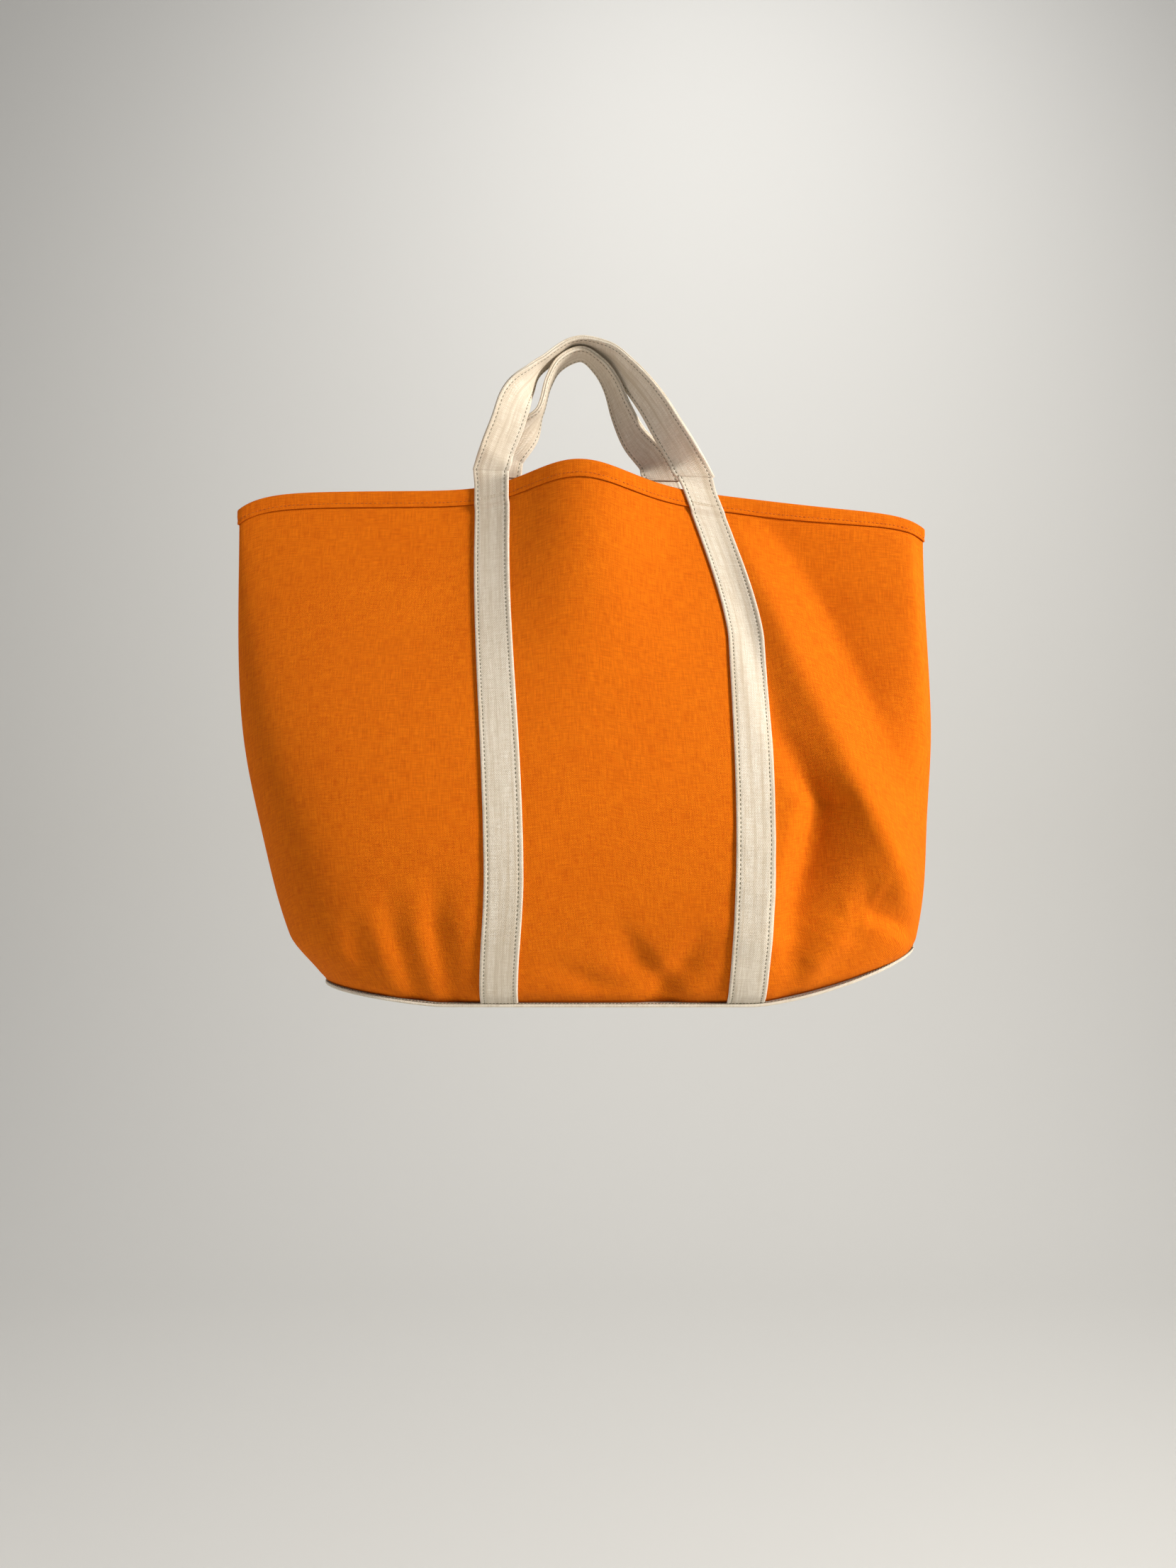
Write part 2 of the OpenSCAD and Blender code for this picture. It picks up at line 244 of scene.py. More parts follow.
def front_folds(x, z, v):
    """How far the folds lift the front from its bare skin."""
    lift = long_fold(x, z)
    # A short fold over the base and a crease across the right corner
    lift += ridge(x, z, [(192, -437), (185, -454), (174, -466), (164, -486)],
                  [1, 6, 7, 3], [9, 11, 11, 10], [16, 20, 18, 14])
    lift += ridge(x, z, [(252, -454), (230, -438), (208, -429), (192, -433)],
                  [-3, -10, -9, -2], [8, 9, 9, 8], [16, 20, 20, 14])
    # Small crossing dents over the base between the straps
    lift += ridge(x, z, [(20, -432), (42, -464), (68, -497)], [0, -5, -3], [9, 9, 9], [15, 15, 15])
    lift += ridge(x, z, [(92, -438), (76, -466), (52, -497)], [0, -4.5, -2], [12, 12, 10], [9, 9, 9])
    lift += ridge(x, z, [(-32, -466), (8, -484), (50, -492)], [0, -3, 0], [9, 9, 9], [9, 9, 9])
    # Soft dents left of the left strap
    lift += ridge(x, z, [(-102, -395), (-104, -440), (-96, -492)], [0, -6, -3], [13, 13, 11], [9, 9, 9])
    lift += ridge(x, z, [(-138, -405), (-132, -450), (-120, -495)], [0, -5.5, -3], [15, 15, 11], [10, 10, 9])
    lift += ridge(x, z, [(-165, -430), (-158, -470), (-150, -490)], [0, -3.5, 0], [12, 12, 10], [10, 10, 9])
    # The sewn straps ripple a little as they hang
    ripple = np.sin(z / 5.6 + 0.35 * np.sin(x / 6)) * smooth((-z - 300) / 90) + 0.4 * np.sin(z / 11.0)
    lift += 0.55 * ripple * (bump(x, 124, 17) + 0.5 * bump(x, -57, 17))
    return lift * smooth((v + 0.02) / 0.1)


def tuck(v):
    """How far the canvas turns in under the bag, just above the base seam."""
    return 4.0 * smooth((v - 0.972) / 0.028) ** 2


SLOPE = 0.002


def skin(side, k, v):
    """The shell's outer skin with its folds."""
    p = bare(side, k, v)
    if side == FRONT:
        q = q_of(k)
        edge = np.clip((1 - np.abs(q)) / 0.05, 0, 1)
        lift = front_folds(p[..., 0], p[..., 2], v) * smooth(edge)
        p = p.copy()
        p[..., 1] -= lift - tuck(v)
    else:
        p = p.copy()
        p[..., 1] -= 0.5 * tuck(v)
    return p


def outward(side, k, v):
    a = np.clip(k, 2 * SLOPE, 1 - 2 * SLOPE)
    along = skin(side, a + SLOPE, v) - skin(side, a - SLOPE, v)
    down = skin(side, a, v + SLOPE) - skin(side, a, v - SLOPE)
    return -side * unit(np.cross(along, down))


def lifted(side, k, v, lift):
    k, v, lift = np.broadcast_arrays(k, v, lift)
    return skin(side, k, v) + lift[..., None] * outward(side, k, v)


def room(k, v):
    return front_out(q_of(k), v) - back_out(q_of(k), v)


def pressed(k, v):
    """Canvas is pressed thin where the two panels come together at the side seams."""
    return np.minimum(1, 0.45 * room(k, v) / (2 * CANVAS + 0.3))


# ---------------------------------------------------------------- meshes


def mesh_piece(name, points, faces, cloth, materials):
    """A mesh from points in mm. cloth gives each point's place on the flat canvas, in mm."""
    mesh = bpy.data.meshes.new(name)
    mesh.from_pydata((np.asarray(points) * MM).tolist(), [], faces)
    mesh.update()
    flat = np.zeros((len(points), 3), np.float32)
    flat[:, : cloth.shape[1]] = cloth
    attribute = mesh.attributes.new("cloth", "FLOAT_VECTOR", "POINT")
    attribute.data.foreach_set("vector", flat.ravel())
    mesh.polygons.foreach_set("use_smooth", np.ones(len(mesh.polygons), bool))
    obj = bpy.data.objects.new(name, mesh)
    bpy.context.scene.collection.objects.link(obj)
    for m in materials if isinstance(materials, (list, tuple)) else [materials]:
        mesh.materials.append(m)
    return obj


def fix_normals(obj):
    """Turns every face outwards."""
    b = bmesh.new()
    b.from_mesh(obj.data)
    bmesh.ops.recalc_face_normals(b, faces=b.faces)
    b.to_mesh(obj.data)
    b.free()
    return obj


def flat_place(grid):
    """Places on the flat cloth for a grid of points: lengths along its rows and down its columns, in mm."""
    step_u = np.linalg.norm(np.diff(grid, axis=1), axis=-1)
    u = np.concatenate([np.zeros((grid.shape[0], 1)), np.cumsum(step_u, 1)], 1)
    u -= u[:, grid.shape[1] // 2][:, None]
    step_v = np.linalg.norm(np.diff(grid, axis=0), axis=-1)
    v = np.concatenate([np.zeros((1, grid.shape[1])), np.cumsum(step_v, 0)], 0)
    return np.stack([u, v], -1)


def closed_sheet(name, top, under, material, cloth=None):
    """A sheet of cloth between two grids of points, closed round its edges."""
    rows, cols = top.shape[:2]
    count = rows * cols
    index = np.arange(count).reshape(rows, cols)
    a, b, c, d = index[:-1, :-1], index[:-1, 1:], index[1:, 1:], index[1:, :-1]
    faces = np.stack([a, b, c, d], -1).reshape(-1, 4).tolist()
    faces += (np.stack([a, d, c, b], -1).reshape(-1, 4) + count).tolist()
    for line in (index[0], index[:, -1], index[-1][::-1], index[::-1, 0]):
        p, r = line[:-1], line[1:]
        faces += np.stack([p, p + count, r + count, r], -1).tolist()
    if cloth is None:
        cloth = flat_place(top)
    cloth = cloth.reshape(-1, 2)
    obj = mesh_piece(
        name,
        np.concatenate([top.reshape(-1, 3), under.reshape(-1, 3)]),
        faces,
        np.concatenate([cloth, cloth]),
        material,
    )
    return fix_normals(obj)


def swept(name, rings, cloth, material):
    """A closed tube through rings of points, (rows, corners, 3), with flat ends."""
    rows, corners = rings.shape[:2]
    index = np.arange(rows * corners).reshape(rows, corners)
    nxt = np.roll(index, -1, axis=1)
    faces = np.stack([index[:-1], index[1:], nxt[1:], nxt[:-1]], -1).reshape(-1, 4).tolist()
    faces += [index[0].tolist(), index[-1][::-1].tolist()]
    return fix_normals(mesh_piece(name, rings.reshape(-1, 3), faces, cloth.reshape(-1, 2), material))


def stitch_row(line, normals, pitch):
    """Places, directions and normals of stitches along a dense line of points."""
    s = np.concatenate([[0], np.cumsum(np.linalg.norm(np.diff(line, axis=0), axis=1))])
    count = int(s[-1] / pitch)
    at = (np.arange(count) + 0.5) * s[-1] / count

    def along(values, where):
        return np.stack([np.interp(where, s, values[:, i]) for i in range(3)], -1)

    direction = unit(along(line, at + 0.5) - along(line, at - 0.5))
    return along(line, at), direction, unit(along(normals, at))


def stitches(name, rows, length, radius, material, sides=6):
    """One mesh of many small thread loops, each a bead pulled into the cloth at both ends."""
    centres = np.concatenate([r[0] for r in rows])
    directions = np.concatenate([r[1] for r in rows])
    normals = np.concatenate([r[2] for r in rows])
    across = unit(np.cross(normals, directions))
    stations = np.array([-0.5, -0.3, 0.0, 0.3, 0.5])
    girth = np.array([0.45, 0.9, 1.0, 0.9, 0.45])
    sink = np.array([-1.0, 0.15, 0.5, 0.15, -1.0])
    angles = np.arange(sides) * 2 * np.pi / sides
    points = (
        centres[:, None, None]
        + directions[:, None, None] * (stations * length)[None, :, None, None]
        + across[:, None, None] * (girth[:, None] * np.cos(angles) * radius)[None, :, :, None]
        + normals[:, None, None]
        * (girth[:, None] * np.sin(angles) * radius * 0.8 + (sink * radius)[:, None])[None, :, :, None]
    )
    n, st = len(centres), len(stations)
    index = np.arange(st * sides).reshape(st, sides)
    nxt = np.roll(index, -1, axis=1)
    one = np.stack([index[:-1], index[1:], nxt[1:], nxt[:-1]], -1).reshape(-1, 4)
    faces = (one[None] + (np.arange(n) * st * sides)[:, None, None]).reshape(-1, 4).tolist()
    for i in range(n):
        base = i * st * sides
        faces.append((base + index[0]).tolist())
        faces.append((base + index[-1][::-1]).tolist())
    place = np.repeat(np.arange(n), st * sides)[:, None] * np.array([[1.7, 0.9]])
    return fix_normals(mesh_piece(name, points.reshape(-1, 3), faces, place, material))


# ---------------------------------------------------------------- materials


class Shader:
    """A material under construction: a Principled shader and short ways to add nodes to it."""

    def __init__(self, name, colour, roughness, sheen, sheen_tint, specular=0.25):
        self.material = bpy.data.materials.new(name)
        self.material.use_nodes = True
        self.tree = self.material.node_tree
        self.tree.nodes.clear()
        output = self.tree.nodes.new("ShaderNodeOutputMaterial")
        self.bsdf = self.tree.nodes.new("ShaderNodeBsdfPrincipled")
        self.tree.links.new(self.bsdf.outputs["BSDF"], output.inputs["Surface"])
        self.bsdf.inputs["Base Color"].default_value = (*colour, 1)
        self.bsdf.inputs["Roughness"].default_value = roughness
        self.bsdf.inputs["Specular IOR Level"].default_value = specular
        self.bsdf.inputs["Sheen Weight"].default_value = sheen
        self.bsdf.inputs["Sheen Roughness"].default_value = 0.45
        self.bsdf.inputs["Sheen Tint"].default_value = (*sheen_tint, 1)
        attribute = self.tree.nodes.new("ShaderNodeAttribute")
        attribute.attribute_name = "cloth"
        split = self.tree.nodes.new("ShaderNodeSeparateXYZ")
        self.tree.links.new(attribute.outputs["Vector"], split.inputs[0])
        self.u, self.v = split.outputs["X"], split.outputs["Y"]

    def _set(self, socket, value):
        if isinstance(value, bpy.types.NodeSocket):
            self.tree.links.new(value, socket)
        else:
            socket.default_value = value

    def math(self, operation, a, b=0.0, c=0.0, clamp=False):
        node = self.tree.nodes.new("ShaderNodeMath")
        node.operation = operation
        node.use_clamp = clamp
        for socket, value in zip(node.inputs, (a, b, c)):
            self._set(socket, value)
        return node.outputs[0]

    def place(self, x, y, z=0.0):
        node = self.tree.nodes.new("ShaderNodeCombineXYZ")
        for socket, value in zip(node.inputs, (x, y, z)):
            self._set(socket, value)
        return node.outputs[0]

    def noise(self, vector, scale, detail=2.0, roughness=0.5):
        node = self.tree.nodes.new("ShaderNodeTexNoise")
        self._set(node.inputs["Vector"], vector)
        node.inputs["Scale"].default_value = scale
        node.inputs["Detail"].default_value = detail
        node.inputs["Roughness"].default_value = roughness
        return node.outputs["Fac"]

    def mix(self, factor, a, b):
        node = self.tree.nodes.new("ShaderNodeMix")
        node.data_type = "RGBA"
        self._set(node.inputs["Factor"], factor)
        colour_a = [s for s in node.inputs if s.name == "A" and s.type == "RGBA"][0]
        colour_b = [s for s in node.inputs if s.name == "B" and s.type == "RGBA"][0]
        self._set(colour_a, a if isinstance(a, bpy.types.NodeSocket) else (*a, 1))
        self._set(colour_b, b if isinstance(b, bpy.types.NodeSocket) else (*b, 1))
        return [s for s in node.outputs if s.type == "RGBA"][0]

    def colour(self, socket):
        self.tree.links.new(socket, self.bsdf.inputs["Base Color"])

    def roughness(self, socket):
        self.tree.links.new(socket, self.bsdf.inputs["Roughness"])

    def height(self, socket, distance, strength=1.0):
        node = self.tree.nodes.new("ShaderNodeBump")
        node.inputs["Strength"].default_value = strength
        node.inputs["Distance"].default_value = distance
        self.tree.links.new(socket, node.inputs["Height"])
        self.tree.links.new(node.outputs["Normal"], self.bsdf.inputs["Normal"])


def woven(name, deep, middle, light, thread_u, thread_v, depth, roughness, sheen, tint,
          flecks=None, bands=0.0, specular=0.1):
    """Plain-woven cloth, with painted shade between its threads. thread_u and thread_v are the distances
    between threads, in mm.
    """
    s = Shader(name, middle, roughness, sheen, tint, specular)
    wander = s.math("SUBTRACT", s.noise(s.place(s.u, s.v), 0.12, 1.0), 0.5)
    u = s.math("MULTIPLY_ADD", wander, 1.6, s.u)
    v = s.math("MULTIPLY_ADD", wander, -1.3, s.v)
    over = s.math("MULTIPLY",
                  s.math("SINE", s.math("MULTIPLY", u, math.pi / thread_u)),
                  s.math("SINE", s.math("MULTIPLY", v, math.pi / thread_v)))
    # Thick and thin places in the yarns, along and across the cloth
    weft = s.noise(s.place(s.math("MULTIPLY", s.u, 0.10), s.math("MULTIPLY", s.v, 1.2)), 1.0, 2.0, 0.6)
    warp = s.noise(s.place(s.math("MULTIPLY", s.u, 1.2), s.math("MULTIPLY", s.v, 0.08), 7.0), 1.0, 2.0, 0.6)
    yarn = s.math("ADD", weft, warp)
    cloud = s.noise(s.place(s.u, s.v, 3.0), 0.018, 3.0, 0.55)
    tone_and_weave_shade = s.math("MULTIPLY_ADD", s.math("SUBTRACT", yarn, 1.0), 1.1, 0.5)
    tone_and_weave_shade = s.math("MULTIPLY_ADD", s.math("SUBTRACT", cloud, 0.5), 0.35, tone_and_weave_shade)
    # Painted shade of the weave: thread crossings are painted lighter and the gaps between threads darker,
    # on top of the yarns' own tone
    tone_and_weave_shade = s.math("MULTIPLY_ADD", over, 0.42, tone_and_weave_shade, clamp=True)
    colour = s.mix(tone_and_weave_shade, deep, light)
    if bands:
        stretched = s.place(s.math("MULTIPLY", s.u, 0.28), s.math("MULTIPLY", s.v, 0.006), 11.0)
        stripe = s.noise(stretched, 1.0, 2.0, 0.6)
        grey = s.math("MULTIPLY", s.math("SUBTRACT", stripe, 0.46, clamp=True), bands, clamp=True)
        colour = s.mix(grey, colour, deep)
    if flecks:
        scattered = s.place(s.math("MULTIPLY", s.u, 0.9), s.math("MULTIPLY", s.v, 0.45), 5.0)
        spots = s.noise(scattered, 1.0, 1.0, 0.4)
        fleck = s.math("MULTIPLY", s.math("SUBTRACT", spots, 0.735, clamp=True), 14.0, clamp=True)
        colour = s.mix(s.math("MULTIPLY", fleck, 0.55), colour, flecks)
    s.colour(colour)
    s.roughness(s.math("MULTIPLY_ADD", over, -0.05, s.math("MULTIPLY_ADD", weft, 0.08, roughness - 0.04)))
    surface = s.math("MULTIPLY_ADD", s.math("SUBTRACT", yarn, 1.0), 0.9, over)
    s.height(surface, depth * MM, 0.9)
    return s.material


def twisted(name, deep, light, roughness=0.8):
    """Sewing thread: fine diagonal plies, their grooves painted darker as painted shade."""
    s = Shader(name, light, roughness, 0.1, light)
    ply = s.math("SINE", s.math("MULTIPLY", s.math("ADD", s.u, s.v), 4.0))
    shade = s.noise(s.place(s.u, s.v), 0.7, 2.0)
    s.colour(s.mix(s.math("MULTIPLY_ADD", ply, 0.2, shade, clamp=True), deep, light))
    s.height(ply, 0.05 * MM, 0.6)
    return s.material


ORANGE = woven("body_canvas", (0.58, 0.088, 0.002), (0.76, 0.150, 0.003), (0.93, 0.225, 0.006),
               0.46, 0.675, 0.18, 0.92, 0.03, (1.0, 0.55, 0.20), specular=0.06)
CREAM = woven("natural_canvas", (0.63, 0.52, 0.38), (0.87, 0.755, 0.59), (0.94, 0.87, 0.75),
              0.675, 0.46, 0.17, 0.88, 0.06, (1.0, 0.95, 0.86),
              flecks=(0.16, 0.11, 0.07), bands=3.4, specular=0.12)
BASE_CREAM = woven("base_canvas_cloth", (0.63, 0.52, 0.38), (0.87, 0.755, 0.59), (0.94, 0.87, 0.75),
                   0.46, 0.675, 0.17, 0.88, 0.06, (1.0, 0.95, 0.86),
                   flecks=(0.16, 0.11, 0.07), specular=0.12)
TAPE = woven("binding_tape", (0.46, 0.40, 0.31), (0.60, 0.54, 0.44), (0.70, 0.65, 0.55),
             0.35, 0.35, 0.08, 0.85, 0.08, (1.0, 0.97, 0.90))
OLIVE_THREAD = twisted("strap_thread", (0.13, 0.12, 0.08), (0.30, 0.27, 0.19))
ORANGE_THREAD = twisted("hem_thread", (0.40, 0.075, 0.004), (0.66, 0.15, 0.010))

# ---------------------------------------------------------------- body panels


def drop(distance):
    """The v that lies a distance below the rim."""
    return distance / BODY_HEIGHT


def panel(name, side, cols, rows):
    # Both panels taper to a closed seam at the sides
    across = np.concatenate([[SEAM_K, 0.003], np.linspace(FIRST_K, 1 - FIRST_K, cols), [0.997, 1 - SEAM_K]])
    k, v = np.meshgrid(across, np.linspace(0.003, 0.9995, rows))
    normal = outward(side, k, v)
    top = skin(side, k, v)
    under = top - (CANVAS * pressed(k, v))[..., None] * normal
    return closed_sheet(name, top, under, ORANGE)


front_panel = panel("front_body", FRONT, 260, 170)
back_panel = panel("back_body", BACK, 160, 90)

# ---------------------------------------------------------------- rim bands


def rim_band(name, side, steps=300):
    """Canvas folded over the panel's upper edge, with a soft round crest."""
    near, far = 0.12, 0.12 + CANVAS
    arc = np.linspace(0, math.pi, 9)
    middle, radius = -CANVAS / 2, CANVAS / 2 + far
    outer_arc = [(middle + radius * math.cos(a), 0.9 - radius * math.sin(a)) for a in arc]
    small = radius - CANVAS
    inner_arc = [(middle + small * math.cos(a), 0.9 - small * math.sin(a)) for a in arc[::-1]]
    low = BAND_HEIGHT
    inside = -CANVAS - near
    section = [(far - 0.25, low), (far, low - 0.5), (far - 0.12, low - 2.4), (far - 0.28, low - HEM_ROW),
               (far - 0.12, low - 4.0), (far + 0.1, low - 6.5)]
    section += outer_arc
    section += [(inside - CANVAS, low - 6.5), (inside - CANVAS + 0.25, low - HEM_ROW),
                (inside - CANVAS, low - 0.5), (inside - CANVAS + 0.25, low), (inside, low)]
    section += inner_arc[1:-1]
    section += [(near, low)]
    lift, down = np.array(section).T
    k = np.linspace(FIRST_K, 1 - FIRST_K, steps)[:, None]
    v = np.broadcast_to(drop(down)[None], (steps, len(down)))
    x = x_at(q_of(k), 0 * k)
    # The hem puckers a little between stitches and waves gently along its length
    pucker = 0.10 * np.sin(1.75 * x + 1.5 * np.sin(0.11 * x)) + 0.12 * np.sin(0.31 * x + 0.8)
    on_face = np.exp(-(((down - (low - HEM_ROW)) / 4) ** 2)) * (lift > 0)
    k = np.broadcast_to(k, v.shape)
    lifts = np.where(lift[None] < 0, lift[None] * pressed(k, v), lift[None] + pucker * on_face[None])
    rings = lifted(side, k, v, lifts)
    along = np.concatenate([[0], np.cumsum(np.linalg.norm(np.diff(rings[:, 0], axis=0), axis=-1))])
    around = np.concatenate([[0], np.cumsum(np.hypot(np.diff(lift), np.diff(down)))])
    cloth = np.stack(np.broadcast_arrays(along[:, None], around[None]), -1)
    return swept(name, rings, cloth, ORANGE)


front_hem = rim_band("front_hem", FRONT)
back_hem = rim_band("back_hem", BACK)


def hem_stitches(side, inside=False):
    k = np.linspace(FIRST_K + 0.004, 1 - FIRST_K - 0.004, 1200)
    v = np.full_like(k, drop(BAND_HEIGHT - HEM_ROW))
    lift = -(2 * CANVAS + 0.05) * pressed(k, v) if inside else np.full_like(k, CANVAS - 0.1)
    normals = outward(side, k, v) * (-1 if inside else 1)
    return stitch_row(lifted(side, k, v, lift), normals, 3.4)


hem_thread = stitches("hem_stitching",
                      [hem_stitches(side, inside) for inside in (False, True) for side in (FRONT, BACK)],
                      2.5, 0.34, ORANGE_THREAD)

# ---------------------------------------------------------------- straps and handles


def left_strap_x(v):
    return -69 + 15 * smooth((v - 0.1) / 0.65) - 6 * smooth((v - 0.75) / 0.25)


def right_strap_x(v):
    return 93 + 33 * (1 - np.maximum(1 - v / 0.3, 0) ** 1.5) - 4 * v * v


def back_left_strap_x(v):
    return -62 + 4 * v


def back_right_strap_x(v):
    return 70 + 44 * (1 - np.maximum(1 - v / 0.5, 0) ** 2)


class Strap:
    """One length of webbing: sewn up the panel on the left, over as a handle, and down on the right."""

    foot_v = -HINGE_RISE / BODY_HEIGHT

    def __init__(self, side, left, right, loop, twist):
        self.side, self.left, self.right, self.twist = side, left, right, twist
        self.left_foot, self.right_foot = self.foot(left), self.foot(right)
        self.hinge = unit(self.right_foot - self.left_foot)
        self.path = np.array([self.left_foot, *loop, self.right_foot])
        self.crest = 0.5

    def foot(self, middle):
        v = np.array([self.foot_v])
        k = k_of(q_at(middle(v), v))
        return lifted(self.side, k, v, np.array([0.5 + CANVAS + 0.15 + STRAP_THICKNESS / 2]))[0]

    def base_lift(self, v):
        """Lift of the sewn strap's middle surface, which steps down from the hem on to the panel."""
        start, end = drop(BAND_HEIGHT + 0.5), drop(BAND_HEIGHT + 6)
        return 0.25 + (CANVAS + 0.15) * (1 - smooth((v - start) / (end - start))) + STRAP_THICKNESS / 2

    def sewn(self, middle, v, a, h):
        """Points of a sewn leg. v runs down it, a across it from the left, and h outwards, in mm."""
        v, a, h = np.broadcast_arrays(v, a, h)
        x = middle(v)
        on_skin = lifted(self.side, k_of(q_at(x + a, v)), v, self.base_lift(v) + h)
        spine = lifted(self.side, k_of(q_at(x, v)), v, self.base_lift(v) + h)
        rise = np.maximum(-v - drop(1.5), 0) / (drop(HINGE_RISE) - drop(1.5))
        straight = smooth(rise)[..., None]
        return on_skin * (1 - straight) + (spine + a[..., None] * self.hinge) * straight

    def at(self, t):
        n = len(self.path) - 1
        s = np.clip(t * n, 0, n - 1e-6)
        i = np.floor(s).astype(int)
        f = (s - i)[..., None]
        a, b = self.path[np.maximum(i - 1, 0)], self.path[i]
        c, d = self.path[i + 1], self.path[np.minimum(i + 2, n)]
        square, cube = 2 * a - 5 * b + 4 * c - d, 3 * b - a - 3 * c + d
        return 0.5 * (2 * b + (c - a) * f + square * f**2 + cube * f**3)

    def turn(self, t):
        """How far the handle is turned about its own length, in radians."""
        root, reach = 29, 0.08
        start, share, power = self.twist
        left = root * smooth(t / reach) + (90 - root) * smooth((t - start) / share)
        right = root * smooth((1 - t) / reach) + (90 - root) * (np.maximum(1 - t, 0) / 0.5) ** power
        return np.radians(np.where(t < self.crest, left, right))

    def loop(self, t, a, h):
        """Points of the handle. t runs along it, a across it and h from its lining to its outer face."""
        along = unit(self.at(np.minimum(t + 0.01, 1)) - self.at(np.maximum(t - 0.01, 0)))
        out = unit(np.cross(along, np.array([0.0, 1.0, 0.0])))
        facing = unit(np.cross(along, out))
        turn = self.turn(t)[:, None]
        normal = np.cos(turn) * facing - np.sin(turn) * out
        across = unit(np.cross(along, normal))
        sense = np.where(across @ self.hinge > 0, 1.0, -1.0)[:, None]
        slant = self.hinge * sense / np.linalg.norm(np.cross(self.hinge, along), axis=-1, keepdims=True)
        cut = (1 - smooth(np.minimum(t, 1 - t) / 0.09))[:, None]
        width = across * (1 - cut) + slant * cut
        return self.at(t)[:, None] + normal[:, None] * h[None, :, None] + width[:, None] * a[None, :, None]

    def strip(self, a, h, legs=True, loop_steps=170, leg_steps=190):
        """Rows of points along the whole strap, for corners (a, h) of its cross-section.
        The layer's own offset grows from 0 on the sewn legs to that of the outer layer on the handle."""
        sign = -self.side
        offset = -sign * LAYER_OFFSET if legs else sign * LAYER_OFFSET
        t = np.linspace(0, 1, loop_steps)
        handle = self.loop(t, a, h + offset)
        if not legs:
            return handle
        low, high = np.linspace(0.9985, drop(24), leg_steps), np.linspace(drop(23), self.foot_v, 60)
        v = np.concatenate([low, high])[:-1]
        grow = smooth((-v - drop(3)) / (drop(HINGE_RISE) - drop(3)))[:, None]
        outer = LAYER_OFFSET * grow
        # On the back the legs' outer side is the far one, so the section is turned over
        left = self.sewn(self.left, v[:, None], a[None], outer - sign * h[None])
        right = self.sewn(self.right, v[::-1, None], -a[None], outer[::-1] - sign * h[None])
        return np.concatenate([left, handle, right])


def webbing_section(width, thickness, dip=0.22):
    """Corners (a, h) of a flat strap with folded edges and two sunk rows of stitches."""
    radius = thickness / 2
    reach = width / 2 - radius
    a = np.concatenate([np.linspace(-reach, -8, 9), np.linspace(-6, 6, 5), np.linspace(8, reach, 9)])
    sunk = dip * np.exp(-(((np.abs(a) - STRAP_ROW) / 0.9) ** 2))
    pad = 0.10 * np.exp(-(((np.abs(a) - 12.4) / 0.9) ** 2))
    h = radius - sunk + pad
    arc = np.linspace(np.pi / 2, -np.pi / 2, 7)[1:-1]
    right = np.stack([reach + radius * np.cos(arc), radius * np.sin(arc)], -1)
    left = np.stack([-reach - radius * np.cos(arc), -radius * np.sin(arc)], -1)
    top, under = np.stack([a, h], -1), np.stack([a, -h], -1)[::-1]
    return np.concatenate([top, right, under, left])


def strap_mesh(name, strap, legs, width, thickness, material):
    section = webbing_section(width, thickness)
    rings = strap.strip(section[:, 0], section[:, 1], legs)
    spine = rings.mean(1)
    along = np.concatenate([[0], np.cumsum(np.linalg.norm(np.diff(spine, axis=0), axis=-1))])
    across = section[:, 0] + np.sign(section[:, 1]) * 0.01
    cloth = np.stack(np.broadcast_arrays(across[None], along[:, None]), -1)
    return swept(name, rings, cloth, material)


def strap_thread(strap, legs, a, h):
    """A row of stitches at one place across the strap, on the face that h is on."""
    line = strap.strip(np.array([a, a]), np.array([h, h + 0.5 * np.sign(h)]), legs, 700, 900)
    return stitch_row(line[:, 0], unit(line[:, 1] - line[:, 0]), 3.3)


def strap_pieces(name, strap):
    outer = strap_mesh(f"{name}_webbing", strap, True, STRAP_WIDTH, 1.8, CREAM)
    lining = strap_mesh(f"{name}_lining", strap, False, STRAP_WIDTH - 0.3, LAYER, CREAM)
    sign = strap.side
    rows = [strap_thread(strap, True, a, sign * 0.72) for a in (-STRAP_ROW, STRAP_ROW)]
    rows += [strap_thread(strap, False, a, -sign * 0.62) for a in (-STRAP_ROW, STRAP_ROW)]
    thread = stitches(f"{name}_stitching", rows, 2.5, 0.30, OLIVE_THREAD)
    up = unit(np.cross(strap.hinge, np.array([0.0, 1.0, 0.0])))
    up = up if up[2] > 0 else -up
    for piece in (outer, lining, thread):
        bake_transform(piece)
    return outer, lining


# Free height between the two loops at their crests, and the thickness of one loop's two layers
GAP = 1.4
PAIR = 2 * LAYER + 0.1
# Middle lines of the loops, from the left foot to the right one; the sixth point is the crest
front_strap = Strap(FRONT, left_strap_x, right_strap_x,
                    [(-65, -15.5, -79), (-57, -18.8, -60), (-50, -18.5, -40),
                     (-40, -12.5, -24), (-28.5, -6.5, -8.5),
                     (-5, -4.5, 1.5 * PAIR + GAP),
                     (19.5, -6.5, -1), (36.5, -13, -19),
                     (53.5, -18.5, -42), (67.5, -19, -65), (80, -14.5, -84)],
                    (0.21, 0.2, 1.6))
back_strap = Strap(BACK, back_left_strap_x, back_right_strap_x,
                   [(-58, 11, -76), (-42, 7, -57), (-32, 4.6, -42), (-26, 3.8, -21), (-17, 3.3, -6),
                    (0, 3, PAIR / 2),
                    (13.5, 4.5, -7), (24, 3.5, -23), (32, 4.5, -44), (42.5, 8.2, -64), (57.5, 10.8, -81)],
                   (0.1, 0.15, 0.95))
front_webbing, front_lining = strap_pieces("front_strap", front_strap)
back_webbing, back_lining = strap_pieces("back_strap", back_strap)

# ---------------------------------------------------------------- base, bindings and bar tacks


